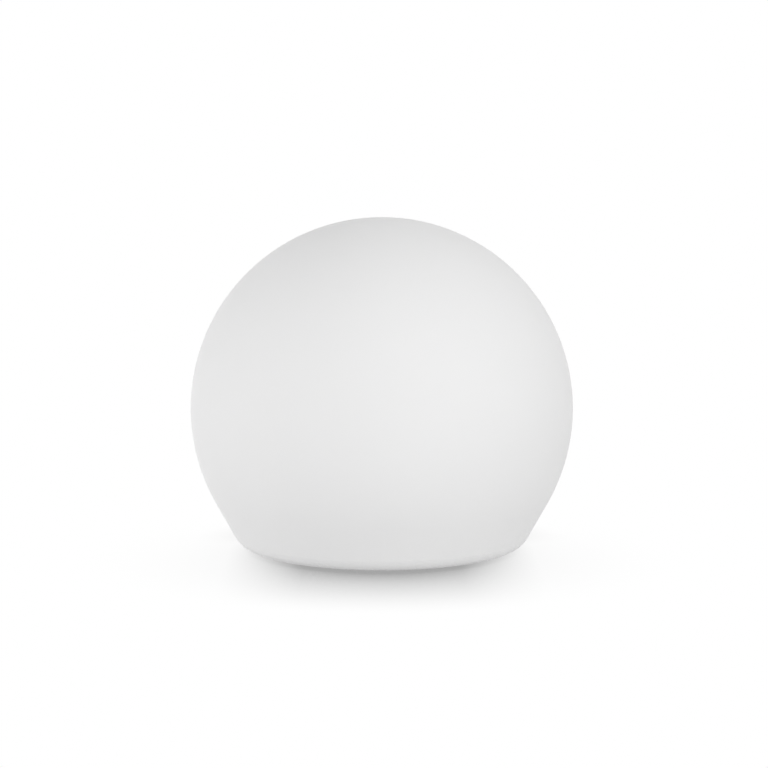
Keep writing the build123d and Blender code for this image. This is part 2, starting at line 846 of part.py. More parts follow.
def make_switch():
    """Square switch under the board, bored for its plunger."""
    half = switch_side / 2
    body = block(button_x - half, button_x + half, button_y - half, button_y + half, switch_low, board_low)
    body = fillet(body.edges().filter_by(Axis.Z), 0.6)
    bore_high = button_head_high + stem_length + button_travel + bore_spare
    return body - disc(stem_radius + stem_fit, switch_low, bore_high, button_x, button_y)


def make_spring():
    """Return spring between the cap's well and the switch: one open helix."""
    low = spring_low + spring_wire + seat_gap
    high = switch_low - spring_wire - seat_gap
    coil = Helix(pitch=(high - low) / spring_turns, height=high - low, radius=spring_radius)
    wound = sweep(Plane(coil @ 0, z_dir=coil % 0) * Circle(spring_wire), path=coil)
    gap = (high - low) / spring_turns - 2 * spring_wire
    print("button spring: least gap between turns", round(gap, 3), "mm")
    return Pos(button_x, button_y, low) * wound


# ================= Charging socket and flap =================

socket_low = pocket_top - socket_flange_thickness
hinge_y = socket_y - hinge_distance
flap_high = socket_low - flap_gap
flap_low = flap_high - flap_thickness
hinge_z = (flap_low + flap_high) / 2
pin_bore = hinge_pin_radius + hinge_fit


def make_socket():
    """Panel socket: a flange in the pocket, a bored body up through the ceiling, and two solder lugs."""
    high = bay_low + socket_length - pocket_ceiling
    body = disc(socket_flange_radius, socket_low, pocket_top, socket_x, socket_y)
    body += disc(socket_radius, socket_low, high, socket_x, socket_y)
    x_low, x_high = socket_x - lug_width / 2, socket_x + lug_width / 2
    for side in (-1, 1):
        y = socket_y + side * lug_pitch / 2
        y_low, y_high = y - lug_thickness / 2, y + lug_thickness / 2
        body += block(x_low, x_high, y_low, y_high, high - past, high + lug_length)
    body -= disc(socket_bore, socket_low, socket_low + socket_bore_depth, socket_x, socket_y)
    return body


def make_socket_pin():
    """Centre contact, set back from the socket's mouth."""
    low = socket_low + socket_pin_recess
    pin = disc(socket_pin_radius, low, socket_low + socket_bore_depth, socket_x, socket_y)
    return chamfer(pin.edges().group_by(Axis.Z)[0], socket_pin_radius / 3)


def make_socket_nut():
    """Hexagonal nut that clamps the socket to the ceiling."""
    nut = hexagon(nut_across_corners, bay_low, bay_low + nut_height)
    nut -= disc(socket_radius + thread_clearance, bay_low, bay_low + nut_height)
    return Pos(socket_x, socket_y, 0) * nut


def make_hinge_pin():
    """Pin of the flap, through both ears and the knuckle."""
    length = 2 * (knuckle_half + ear_gap + ear_thickness)
    return Pos(socket_x, hinge_y, hinge_z) * Rot(0, 90, 0) * Cylinder(hinge_pin_radius, length)


def make_flap():
    """Plate over the socket with its knuckle, a finger lip at the free end and a hole for the bung."""
    end = socket_y + flap_reach
    half = flap_width / 2
    start = socket_y - socket_flange_radius - hole_clearance
    flap = block(socket_x - half, socket_x + half, start, end, flap_low, flap_high)
    corners = flap.edges().filter_by(Axis.Z).group_by(Axis.Y)[-1]
    flap = fillet(corners, flap_bend)
    arm = (socket_x - knuckle_half, socket_x + knuckle_half)
    flap += block(*arm, hinge_y, start + past, flap_low, flap_high)
    flap += Pos(socket_x, hinge_y, hinge_z) * Rot(0, 90, 0) * Cylinder(knuckle_radius, 2 * knuckle_half)
    flap -= Pos(socket_x, hinge_y, hinge_z) * Rot(0, 90, 0) * Cylinder(pin_bore, 3 * knuckle_half)
    return flap - disc(bung_stem_radius + thread_clearance, flap_low, flap_high, socket_x, socket_y)


def make_bung():
    """Soft bung on the flap that fills the socket's mouth, with its stem through the plate."""
    bung = disc(bung_radius, flap_high, flap_high + bung_depth, socket_x, socket_y)
    bung = fillet(bung.edges().group_by(Axis.Z)[-1], bung_bend)
    return bung + disc(bung_stem_radius, flap_low, flap_high, socket_x, socket_y)


# ================= Charging light =================


def make_pipe():
    """Clear rod that brings the charging light down to the pocket."""
    high = board_low - led_height - seat_gap
    pipe = disc(pipe_radius, pocket_top, high, pipe_x, pipe_y)
    return pipe + disc(pipe_flange_radius, bay_low, bay_low + pipe_flange_thickness, pipe_x, pipe_y)


def make_indicator():
    """Small light under the board."""
    half = led_side / 2
    body = block(-half, half, -half, half, board_low - led_height, board_low)
    return Pos(pipe_x, pipe_y, 0) * body


# ================= Heat sink and light source =================

led_screw_places = around(sink_post_count, led_board_screw_circle, 180 / sink_post_count)
ring_screw_places = around(ring_screw_count, ring_screw_circle, 0)


def make_sink():
    """Round plate with radial fins below, and posts that stand on the lid."""
    fin_low = cover_high + fin_gap
    fin_turn = 180 / fin_count
    half = fin_thickness / 2
    fin = block(fin_inner - past, fin_outer, -half, half, fin_low, sink_low + past)
    sink = disc(sink_radius, sink_low, sink_high)
    sink = chamfer(sink.edges().group_by(Axis.Z)[0], sink_chamfer)
    sink += ring(fin_inner, fin_inner - hub_wall, fin_low, sink_low + past)
    sink += copies(around(fin_count, 0, fin_turn), fin)
    sink += copies(sink_post_places, disc(sink_post_radius, cover_high, sink_low + past))
    bore = machine_screw_radius + thread_clearance
    sink -= copies(sink_post_places, disc(bore, cover_high, cover_low + sink_screw_length + bore_spare))
    sink -= copies(led_screw_places, disc(bore, led_board_high - led_screw_length - bore_spare, sink_high))
    sink -= copies(ring_screw_places, disc(bore, ring_high - ring_screw_length - bore_spare, sink_high))
    return sink - disc(grommet_radius, sink_low, sink_high, 0, lead_y)


def make_sink_screws():
    """Countersunk screws up through the lid into the posts."""
    screw = flat_screw(cover_low, sink_screw_length, machine_screw_radius, pan_head_radius)
    return copies(sink_post_places, screw)


def make_thermal_pad():
    """Soft sheet between the light board and the heat sink."""
    pad = disc(led_board_radius - pad_sheet, sink_high, led_board_low)
    pad -= copies(led_screw_places, disc(machine_screw_radius + hole_clearance, sink_high, led_board_low))
    return pad - disc(grommet_radius, sink_high, led_board_low, 0, lead_y)


def make_led_board():
    """Round aluminium board with screw holes and a hole for the leads."""
    board = disc(led_board_radius, led_board_low, led_board_high)
    board -= disc(led_board_lead_hole, led_board_low, led_board_high, 0, lead_y)
    hole = disc(machine_screw_radius + hole_clearance, led_board_low, led_board_high)
    return board - copies(led_screw_places, hole)


def led_places():
    """Inner and outer ring of light packages."""
    outer = around(outer_led_count, outer_led_circle, 180 / outer_led_count)
    return around(inner_led_count, inner_led_circle) + outer


def make_packages():
    """Square packages with a round well in the top."""
    half = package_side / 2
    high = led_board_high + package_height
    package = block(-half, half, -half, half, led_board_high, high)
    return copies(led_places(), package - disc(phosphor_radius + seat_gap, high - phosphor_depth, high))


def make_phosphors():
    """Yellow filling of each package's well."""
    high = led_board_high + package_height
    return copies(led_places(), disc(phosphor_radius, high - phosphor_depth, high))


def make_led_screws():
    """Screws that press the light board on its pad."""
    return copies(led_screw_places, pan_screw(led_board_high, led_screw_length))


def make_led_connector():
    """Plug housing on the light board, its mouth facing the leads."""
    front, back = connector_y - plug_width / 2, connector_y + plug_width / 2
    high = led_board_high + led_connector_height
    body = block(-plug_length / 2, plug_length / 2, front, back, led_board_high, high)
    return fillet(body.edges().group_by(Axis.Z)[-1], plug_bend)


def dome_cap(radius, low, rise):
    """A ball cap that stands on a height with a given foot radius and rise."""
    ball = (radius**2 + rise**2) / (2 * rise)
    cap = Pos(0, 0, low + rise - ball) * Sphere(ball)
    return cap & disc(radius + past, low, low + rise + past)


def make_dome():
    """Clear dome with a flat flange."""
    outer = dome_inner + dome_wall
    dome = disc(dome_flange_radius, dome_flange_low, dome_flange_high)
    dome += disc(outer, dome_flange_low, dome_flange_high)
    dome += dome_cap(outer, dome_flange_high, dome_rise)
    dome -= dome_cap(dome_inner, dome_flange_high - 0.01, dome_rise - dome_wall)
    return dome - disc(dome_inner, dome_flange_low, dome_flange_high)


def make_dome_gasket():
    """Flat gasket under the dome's flange."""
    return ring(dome_flange_radius, dome_inner + hole_clearance, sink_high, dome_flange_low)


def make_dome_ring():
    """Ring screwed to the heat sink, whose lip holds the dome's flange."""
    clear = dome_flange_radius + hole_clearance
    lip = dome_flange_radius - ring_lip
    section = lathe(
        (clear, sink_high),
        (sink_radius, sink_high),
        (sink_radius, ring_high - ring_chamfer),
        (sink_radius - ring_chamfer, ring_high),
        (lip + ring_chamfer, ring_high),
        (lip, ring_high - ring_chamfer),
        (lip, dome_flange_high),
        (clear, dome_flange_high),
    )
    hole = disc(machine_screw_radius + hole_clearance, sink_high, ring_high)
    return section - copies(ring_screw_places, hole)


def make_ring_screws():
    """Screws of the dome's ring."""
    return copies(ring_screw_places, pan_screw(ring_high, ring_screw_length))


# ================= Leads inside =================


def make_led_lead():
    """Two wires from the control board through the lid to the light board."""
    low = board_high + plug_height
    high = led_board_high + led_connector_height / 2
    wires = []
    for side in (-1, 1):
        x = side * lead_pitch / 2
        points = [(x, lead_y, low), (x, lead_y, high), (x, connector_y - plug_width / 2, high)]
        wires.append(wire(points, lead_bend, lead_radius))
    return wires


def make_battery_lead():
    """Two wires from the protection board to its plug."""
    front = pack_front - protection_thickness
    low = bay_low + protection_lift + protection_height / 2
    high = board_high + plug_height / 2
    middle = front - lead_bend - lead_exit
    wires = []
    for side in (-1, 1):
        x = battery_plug[0] + side * lead_pitch / 2
        end = battery_plug[1] + plug_width / 2
        points = [(x, front, low), (x, middle, low), (x, middle, high), (x, end, high)]
        wires.append(wire(points, lead_bend, lead_radius))
    return wires


def make_socket_lead():
    """Two wires from the socket's lugs round the board's edge to their plug."""
    low = bay_low + socket_length - pocket_ceiling + lug_length / 2
    high = board_high + plug_height / 2
    start = socket_x + lug_width / 2
    outside = board_length / 2 + lead_bend + lead_exit
    wires = []
    for side in (-1, 1):
        y = socket_y + side * lug_pitch / 2
        end = socket_plug[0] + plug_width / 2
        points = [(start, y, low), (outside, y, low), (outside, y, high), (end, y, high)]
        wires.append(wire(points, lead_bend, socket_lead_radius))
    return wires


# ================= All nodes =================

os.makedirs("parts", exist_ok=True)

save("globe_diffuser", make_globe())
save("moulded_inserts", *make_inserts())
save("collar", make_collar())
save("collar_gasket", make_collar_gasket())
save("collar_screws", *make_collar_screws())

save("base_pan", make_pan())
save("rubber_feet", *make_feet())
save("seal_ring", make_seal_ring())
save("spring_catches", *make_catches())
save("catch_rivets", *make_rivets())
save("module_cover", make_cover())
save("cover_gasket", make_cover_gasket())
save("cover_screws", *make_cover_screws())
save("lead_grommet", make_grommet())

save("battery_cells", *make_cells())
save("battery_holder", make_holder())
save("battery_tabs", *make_tabs())
save("protection_board", make_protection_board())
save("cell_pad", make_cell_pad())

save("control_board", make_board())
save("control_chips", *make_chips())
save("capacitors", *make_capacitors())
save("inductor", make_inductor())
save("board_connectors", *make_connectors())
save("board_screws", *make_board_screws())

save("power_button", make_button())
save("button_seal", make_button_seal())
save("switch_stem", make_stem())
save("switch_body", make_switch())
save("button_spring", make_spring())

save("charge_socket", make_socket())
save("socket_pin", make_socket_pin())
save("socket_nut", make_socket_nut())
save("hinge_pin", make_hinge_pin())
save("port_flap", make_flap())
save("flap_bung", make_bung())

save("light_pipe", make_pipe())
save("indicator_led", make_indicator())

save("heat_sink", make_sink())
save("heat_sink_screws", *make_sink_screws())
save("thermal_pad", make_thermal_pad())
save("led_board", make_led_board())
save("led_packages", *make_packages())
save("led_phosphors", *make_phosphors())
save("led_board_screws", *make_led_screws())
save("led_connector", make_led_connector())
save("lens_dome", make_dome())
save("dome_gasket", make_dome_gasket())
save("dome_ring", make_dome_ring())
save("dome_ring_screws", *make_ring_screws())

save("led_lead", *make_led_lead())
save("battery_lead", *make_battery_lead())
save("socket_lead", *make_socket_lead())
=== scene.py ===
import json
import math

import bmesh
import bpy
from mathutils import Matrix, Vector


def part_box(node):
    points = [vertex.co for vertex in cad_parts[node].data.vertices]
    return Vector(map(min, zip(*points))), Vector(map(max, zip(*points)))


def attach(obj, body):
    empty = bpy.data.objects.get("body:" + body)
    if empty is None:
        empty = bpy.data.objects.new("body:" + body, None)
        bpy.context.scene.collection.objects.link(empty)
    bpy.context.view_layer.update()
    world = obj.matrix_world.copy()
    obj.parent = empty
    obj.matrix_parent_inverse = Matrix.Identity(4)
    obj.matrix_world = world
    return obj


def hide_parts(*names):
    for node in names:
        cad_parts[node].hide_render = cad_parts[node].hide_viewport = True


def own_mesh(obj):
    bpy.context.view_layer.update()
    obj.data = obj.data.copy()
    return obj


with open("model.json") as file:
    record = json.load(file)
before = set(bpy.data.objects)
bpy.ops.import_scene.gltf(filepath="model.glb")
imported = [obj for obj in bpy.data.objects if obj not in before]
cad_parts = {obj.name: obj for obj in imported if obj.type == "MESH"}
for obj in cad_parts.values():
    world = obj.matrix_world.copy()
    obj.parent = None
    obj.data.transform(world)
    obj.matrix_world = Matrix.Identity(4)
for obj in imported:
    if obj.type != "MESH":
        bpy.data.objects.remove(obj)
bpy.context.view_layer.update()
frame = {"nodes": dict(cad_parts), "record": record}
nodes = frame["nodes"]

# ---- Sizes read from the frame, metres ----
globe_low, globe_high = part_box("globe_diffuser")
globe_radius = (globe_high.x - globe_low.x) / 2
equator_height = globe_high.z - globe_radius
equator = Vector((0, 0, equator_height))


# ================= Materials =================

noise_span = (0.3, 0.7)  # most values of a noise lie between these


class Value:
    """A socket in a node tree. Arithmetic on it adds Math nodes."""

    def __init__(self, nodes, socket):
        self.nodes = nodes
        self.socket = socket

    def __add__(self, other):
        return self.nodes.math("ADD", self, other)

    def __sub__(self, other):
        return self.nodes.math("SUBTRACT", self, other)

    def __rsub__(self, other):
        return self.nodes.math("SUBTRACT", other, self)

    def __mul__(self, other):
        return self.nodes.math("MULTIPLY", self, other)

    def __truediv__(self, other):
        return self.nodes.math("DIVIDE", self, other)

    def __rtruediv__(self, other):
        return self.nodes.math("DIVIDE", other, self)

    def __pow__(self, other):
        return self.nodes.math("POWER", self, other)

    def __gt__(self, other):
        return self.nodes.math("GREATER_THAN", self, other)

    def __lt__(self, other):
        return self.nodes.math("LESS_THAN", self, other)

    __radd__ = __add__
    __rmul__ = __mul__


class Nodes:
    """A tree of shader or geometry nodes, and short ways to add nodes to it."""

    def __init__(self, tree):
        self.tree = tree
        self.tree.nodes.clear()

    def node(self, kind, settings=None, inputs=None, output=0):
        """Adds a node: its settings first, then the values or links of its sockets."""
        made = self.tree.nodes.new(kind)
        for key, value in (settings or {}).items():
            setattr(made, key, value)
        for key, value in (inputs or {}).items():
            if isinstance(value, Value):
                self.tree.links.new(value.socket, made.inputs[key])
            else:
                made.inputs[key].default_value = value
        return Value(self, made.outputs[output]) if made.outputs else made

    def math(self, operation, *terms):
        return self.node("ShaderNodeMath", {"operation": operation}, dict(enumerate(terms)))

    def split(self, vector):
        """The three numbers of a vector."""
        made = self.tree.nodes.new("ShaderNodeSeparateXYZ")
        self.tree.links.new(vector.socket, made.inputs[0])
        return [Value(self, made.outputs[k]) for k in range(3)]

    def mix_shaders(self, factor, first, second):
        return self.node("ShaderNodeMixShader", None, {0: factor, 1: first, 2: second})

    def ray_is(self, *kinds):
        """A number that is 1 for rays of these kinds."""
        found = [self.node("ShaderNodeLightPath", output=f"Is {kind} Ray") for kind in kinds]
        while len(found) > 1:
            found.append(self.math("MAXIMUM", found.pop(0), found.pop(0)))
        return found[0]


class Finish(Nodes):
    """One procedural material: a Principled shader and the nodes that vary it.

    Further constants are inputs of the shader, in lower case and with underscores.
    """

    def __init__(self, name, color, roughness=0.5, **constants):
        self.material = bpy.data.materials.new(name)
        self.material.use_nodes = True
        super().__init__(self.material.node_tree)
        self.material.diffuse_color = (*color[:3], 1.0)
        self.shader = self.tree.nodes.new("ShaderNodeBsdfPrincipled")
        self.shader.inputs["Base Color"].default_value = (*color[:3], 1.0)
        self.shader.inputs["Roughness"].default_value = roughness
        for key, value in constants.items():
            self.shader.inputs[key.replace("_", " ").title().replace("Ior", "IOR")].default_value = value
        self.output = self.tree.nodes.new("ShaderNodeOutputMaterial")
        self.surface(Value(self, self.shader.outputs["BSDF"]))
        self.place = self.node("ShaderNodeTexCoord", output="Object")

    def surface(self, shader):
        self.tree.links.new(shader.socket, self.output.inputs["Surface"])

    def clamp(self, value):
        return self.node("ShaderNodeClamp", None, {"Value": value})

    def absolute(self, value):
        return self.math("ABSOLUTE", value)

    def stretched(self, scale):
        """The object's own coordinates, scaled by (x, y, z)."""
        return self.node("ShaderNodeMapping", None, {"Vector": self.place, "Scale": scale})

    def axes(self):
        """The three object coordinates, each a number."""
        return self.split(self.place)

    def noise(self, size, detail=3.0, roughness=0.5, place=None):
        """Cloudy noise whose blotches are about this size, in metres."""
        inputs = {"Vector": place or self.place, "Scale": 1 / size}
        inputs |= {"Detail": detail, "Roughness": roughness}
        return self.node("ShaderNodeTexNoise", None, inputs, "Fac")

    def cells(self, size, feature="F1"):
        """Cellular pattern whose cells are about this size, in metres."""
        inputs = {"Vector": self.place, "Scale": 1 / size}
        return self.node("ShaderNodeTexVoronoi", {"feature": feature}, inputs, "Distance")

    def ramp(self, value, low, high, start=0.0, end=1.0):
        """A number that goes from start to end while value goes from low to high."""
        inputs = {"Value": value, "From Min": low, "From Max": high, "To Min": start, "To Max": end}
        return self.node("ShaderNodeMapRange", None, inputs)

    def mix(self, factor, first, second):
        """Colour from first to second."""
        made = self.tree.nodes.new("ShaderNodeMix")
        made.data_type = "RGBA"
        colors = [socket for socket in made.inputs if socket.type == "RGBA"]
        factors = [socket for socket in made.inputs if socket.type == "VALUE"]
        for socket, value in ((factors[0], factor), (colors[0], first), (colors[1], second)):
            if isinstance(value, Value):
                self.tree.links.new(value.socket, socket)
            else:
                socket.default_value = (*value[:3], 1.0) if hasattr(value, "__len__") else value
        return Value(self, [socket for socket in made.outputs if socket.type == "RGBA"][0])

    def color(self, value):
        self.tree.links.new(value.socket, self.shader.inputs["Base Color"])

    def tint(self, value, color, darker, lighter):
        """Base colour that goes from darker to lighter, each by its share, with the value."""
        self.color(self.mix(value, shade(color, -darker), shade(color, lighter)))

    def roughen(self, value, low, high, span=noise_span):
        """Roughness that goes from low to high while the value crosses the span."""
        roughness = self.ramp(value, *span, low, high)
        self.tree.links.new(roughness.socket, self.shader.inputs["Roughness"])

    def bump(self, height, distance, strength=1.0):
        """Relief of this distance, in metres."""
        inputs = {"Height": height, "Distance": distance, "Strength": strength}
        relief = self.node("ShaderNodeBump", None, inputs, "Normal")
        self.tree.links.new(relief.socket, self.shader.inputs["Normal"])


def shade(color, amount):
    """A colour made lighter or darker by a share."""
    return tuple(min(1.0, max(0.0, part * (1 + amount))) for part in color[:3])


def moulded_plastic(name, color, roughness=0.45, grain=0.0004, relief=0.00001, cloud=0.02):
    """Injection moulded plastic: spark-eroded grain, faint flow clouds and handling shine."""
    finish = Finish(name, color, roughness)
    flow = finish.noise(0.03, 2.0, place=finish.stretched((1, 1, 0.4)))
    speck = finish.noise(grain * 3, 2.0)
    finish.tint(finish.clamp(flow * 0.7 + speck * 0.3), color, cloud, cloud)
    finish.roughen(finish.noise(0.012), roughness - 0.05, roughness + 0.05)
    finish.bump(finish.cells(grain) + finish.noise(grain * 2) * 0.5, relief)
    return finish.material


def globe_skin():
    """Matt white polyethylene from a rotating mould: soft orange peel, faint wall clouds."""
    color = (0.8645, 0.8635, 0.8628)
    glow_depth = (0.006, 0.006, 0.0055)
    depth = dict(subsurface_weight=0.12, subsurface_radius=glow_depth, subsurface_scale=1.0)
    finish = Finish("white_polyethylene", color, 0.5, ior=1.5, **depth)
    cloud = finish.noise(0.06, 3.0, 0.45)
    fleck = finish.noise(0.0011, 2.0)
    finish.tint(finish.clamp(cloud * 0.8 + fleck * 0.2), color, 0.008, 0.008)
    finish.roughen(finish.noise(0.02, 4.0), 0.46, 0.56)
    peel = finish.noise(0.0032, 2.0, 0.4)
    finish.bump(peel + finish.noise(0.0007, 1.0) * 0.25, 0.00005, 0.6)
    return finish.material


def rubber(name, color, roughness=0.7):
    """Rubber or silicone: fine matt tooth and a little bloom."""
    finish = Finish(name, color, roughness)
    bloom = finish.noise(0.006, 4.0, 0.6)
    finish.tint(bloom, color, 0.12, 0.16)
    finish.roughen(bloom, roughness - 0.08, roughness + 0.08, (0.25, 0.75))
    finish.bump(finish.noise(0.0003, 2.0), 0.000015)
    return finish.material


def turned_metal(name, color, roughness=0.3):
    """Turned metal: fine rings about each piece's height, and dulled patches."""
    finish = Finish(name, color, roughness, metallic=1.0)
    rings = finish.noise(0.00012, 2.0, place=finish.stretched((0.05, 0.05, 1)))
    dull = finish.noise(0.004, 3.0)
    finish.tint(dull, color, 0.14, 0.06)
    finish.roughen(rings * 0.6 + dull * 0.4, roughness - 0.08, roughness + 0.12)
    finish.bump(rings, 0.000006)
    return finish.material


def cast_metal(name, color):
    """Die cast, shot-blasted aluminium: small dimples with painted shade in their bottoms, and soft grey
    clouds.
    """
    finish = Finish(name, color, 0.5, metallic=0.9)
    dimples = finish.cells(0.0006, "SMOOTH_F1")
    cloud = finish.noise(0.02, 4.0)
    # partly painted shade: darker towards each dimple's bottom; the clouds are a real grey tone
    finish.tint(finish.clamp(cloud * 0.7 + dimples * 0.5), color, 0.16, 0.05)
    finish.roughen(cloud, 0.42, 0.58)
    finish.bump(dimples, 0.00003)
    return finish.material


def rolled_metal(name, color, roughness=0.25):
    """Rolled strip or drawn wire: lengthwise streaks and a faint heat tint."""
    finish = Finish(name, color, roughness, metallic=1.0)
    streak = finish.noise(0.0002, 2.0, place=finish.stretched((1, 1, 0.04)))
    finish.tint(streak, color, 0.12, 0.08)
    finish.roughen(streak, roughness - 0.06, roughness + 0.1)
    finish.bump(streak, 0.000004)
    return finish.material


def circuit_board(name, mask, copper, pitch=0.0032):
    """Solder mask over copper: tracks as raised bands of a darker or lighter tone, and small vias."""
    finish = Finish(name, mask, 0.32, coat_weight=0.3)
    x, y, _ = finish.axes()
    wander = finish.noise(pitch * 6, 1.0) * (pitch * 3)
    band = finish.math("SINE", (x + wander) * (math.tau / pitch))
    cross = finish.math("SINE", (y + wander) * (math.tau / (pitch * 1.6)))
    gate = finish.noise(pitch * 4, 0.0) > 0.52
    track = finish.clamp((band > 0.55) * gate + (cross > 0.6) * (1 - gate))
    via = finish.cells(pitch * 1.7) < 0.1
    dark_mask = sum(mask) < 1.5
    toned = finish.mix(track, mask, shade(mask, 0.35 if dark_mask else -0.07))
    finish.color(finish.mix(via, toned, copper))
    finish.roughen(finish.noise(0.002), 0.28, 0.4)
    finish.bump(track + via * 0.5, 0.00003)
    return finish.material


def shrunk_sleeve(name, color):
    """Heat-shrunk sleeve: gloss with faint wrinkles near the ends."""
    finish = Finish(name, color, 0.28, coat_weight=0.4)
    x = finish.axes()[0]
    ends = finish.ramp(finish.absolute(x), 0.026, 0.032)
    wrinkle = finish.noise(0.0012, 3.0, place=finish.stretched((0.3, 1, 1)))
    finish.tint(finish.noise(0.008), color, 0.1, 0.12)
    finish.roughen(wrinkle, 0.22, 0.36)
    finish.bump(wrinkle * ends, 0.00008)
    return finish.material


def foam(name, color):
    """Closed-cell foam: small open pits of mixed size, with painted shade in their hollows."""
    finish = Finish(name, color, 0.9)
    pits = finish.cells(0.0007) * 0.7 + finish.cells(0.0016) * 0.3
    # painted shade: the colour darkens towards each pit's hollow, where the bump is lowest
    finish.tint(pits, color, 0.5, 0.35)
    finish.roughen(pits, 0.95, 0.85, (0.2, 0.8))
    finish.bump(pits, 0.0003)
    return finish.material


def clear_plastic(name, color):
    """Clear polycarbonate: polished, with a trace of haze and flow marks."""
    finish = Finish(name, color, 0.06, ior=1.585, transmission_weight=1.0)
    haze = finish.noise(0.015, 3.0)
    finish.tint(haze, color, 0.02, 0.02)
    finish.roughen(haze, 0.03, 0.1)
    finish.bump(finish.noise(0.02, 1.0), 0.00001)
    return finish.material


def phosphor(name, color):
    """Phosphor gel: grains in soft yellow silicone."""
    finish = Finish(name, color, 0.35, coat_weight=0.5)
    grain = finish.noise(0.00025, 2.0)
    finish.tint(grain, color, 0.15, 0.15)
    finish.roughen(grain, 0.25, 0.45)
    finish.bump(grain, 0.00002)
    return finish.material


def two_tone_lead(name, first, second):
    """PVC sleeves, one colour on each side of the middle line across the pair."""
    finish = Finish(name, first, 0.35, coat_weight=0.2)
    streak = finish.noise(0.0012, 2.0)
    one = finish.mix(streak, shade(first, -0.1), shade(first, 0.15))
    other = finish.mix(streak, shade(second, -0.1), shade(second, 0.15))
    finish.color(finish.mix(finish.axes()[0] > 0, one, other))
    finish.roughen(streak, 0.3, 0.42)
    finish.bump(streak, 0.00001)
    return finish.material


finishes = {
    "white_polyethylene": globe_skin(),
    "white_polycarbonate": moulded_plastic("white_polycarbonate", (0.78, 0.78, 0.77)),
    "grey_ring_plastic": moulded_plastic("grey_ring_plastic", (0.62, 0.62, 0.61), 0.4),
    "brass": turned_metal("brass", (0.72, 0.5, 0.2)),
    "clear_silicone": rubber("red_silicone", (0.5, 0.12, 0.07), 0.55),
    "black_rubber": rubber("black_rubber", (0.025, 0.025, 0.026)),
    "stainless_steel": turned_metal("stainless_steel", (0.6, 0.6, 0.59), 0.25),
    "spring_steel": rolled_metal("spring_steel", (0.55, 0.54, 0.51)),
    "cell_wrap": shrunk_sleeve("cell_wrap", (0.05, 0.2, 0.42)),
    "black_nylon": moulded_plastic("black_nylon", (0.028, 0.028, 0.03), 0.5, cloud=0.15),
    "nickel": rolled_metal("nickel", (0.68, 0.65, 0.58), 0.2),
    "green_board": circuit_board("green_board", (0.012, 0.12, 0.045), (0.75, 0.55, 0.25)),
    "grey_foam": foam("grey_foam", (0.07, 0.07, 0.075)),
    "capacitor_can": turned_metal("capacitor_can", (0.72, 0.72, 0.73), 0.2),
    "ferrite": moulded_plastic(
        "ferrite", (0.05, 0.05, 0.052), 0.65, grain=0.0003, relief=0.00003, cloud=0.25
    ),
    "white_nylon": moulded_plastic("white_nylon", (0.74, 0.71, 0.62), 0.4),
    "button_grey": moulded_plastic("button_grey", (0.2, 0.21, 0.22), 0.4, cloud=0.05),
    "flap_grey": moulded_plastic("flap_grey", (0.12, 0.125, 0.13), 0.55, cloud=0.06),
    "clear_polycarbonate": clear_plastic("clear_polycarbonate", (0.94, 0.955, 0.96)),
    "indicator_epoxy": clear_plastic("indicator_epoxy", (0.85, 0.9, 0.87)),
    "cast_aluminium": cast_metal("cast_aluminium", (0.66, 0.67, 0.68)),
    "thermal_silicone": rubber("thermal_silicone", (0.12, 0.24, 0.36), 0.6),
    "white_solder_mask": circuit_board("white_solder_mask", (0.8, 0.81, 0.8), (0.72, 0.6, 0.35), 0.006),
    "led_ceramic": moulded_plastic("led_ceramic", (0.84, 0.84, 0.81), 0.35, grain=0.0002),
    "phosphor": phosphor("phosphor", (0.83, 0.6, 0.06)),
    "lead_sleeve": two_tone_lead("lead_sleeve", (0.45, 0.02, 0.015), (0.02, 0.02, 0.022)),
}

for part in frame["record"]["subparts"]:
    mesh = nodes[part["node"]].data
    if not mesh.materials:
        mesh.materials.append(None)
    for index in range(len(mesh.materials)):
        mesh.materials[index] = finishes[part["material_slot"]]


# ================= Small repeated pieces =================

mm = 0.001

# ---- Their sizes, in millimetres and degrees ----
package_rings = [  # light packages on a circle, its radius, turn of the first
    (6, 14.0, 0.0),
    (12, 32.0, 15.0),
]
package_solder = dict(reach=2.75, width=0.75, length=1.6, height=0.7)
resistor_circle = 22.0
resistor_spread = 9.0  # from each quarter turn, to both sides
resistor_turns = [90.0 * quarter + side * resistor_spread for quarter in range(4) for side in (-1, 1)]
resistor_body = dict(width=1.7, depth=1.2, height=0.55)
resistor_end = dict(width=0.45, depth=1.32, height=0.62)
resistor_end_places = (-0.95, 0.95)
block_lift = 0.3  # board's top to the middle of a resistor or capacitor

leg_sizes = dict(stand=0.45, run=0.3, thick=0.14)
leg_lift = 0.08
leg_width_share = 0.45  # of the pitch
chip_sides = 4
leg_bends = 4  # points that a leg's line has
chips = [  # middle x and y, side, legs on a side, pitch of the legs
    (-20.0, -17.0, 7.0, 8, 0.75),
    (2.0, -19.0, 9.0, 11, 0.75),
    (22.0, -32.0, 5.0, 7, 0.6),
    (-10.0, -32.0, 4.0, 5, 0.6),
]
small_part_pitch = 2.5
small_part_rows = [  # first x, y, count
    (-24.0, -24.4, 5),
    (-5.0, -27.5, 6),
    (12.0, -38.2, 6),
    (0.0, -9.0, 5),
]
small_part_body = dict(width=1.1, depth=0.8, height=0.5)
small_part_end = dict(width=0.35, depth=0.88, height=0.56)
small_part_end_places = (-0.62, 0.62)

ejector_mark = dict(count=4, circle=68.0, radius=3.0, depth=0.16, z=6.5)
ejector_mark_turns = (15.0, 75.0)
spring_wire = 0.3
spring_turns = 5
sharp_angle = 35  # faces that meet at more than this keep a sharp edge


def scene_units(label, size):
    """A whole number as it is, a turn in radians and a length in metres."""
    if isinstance(size, int):
        return size
    return math.radians(size) if label.startswith("turn") else size * mm


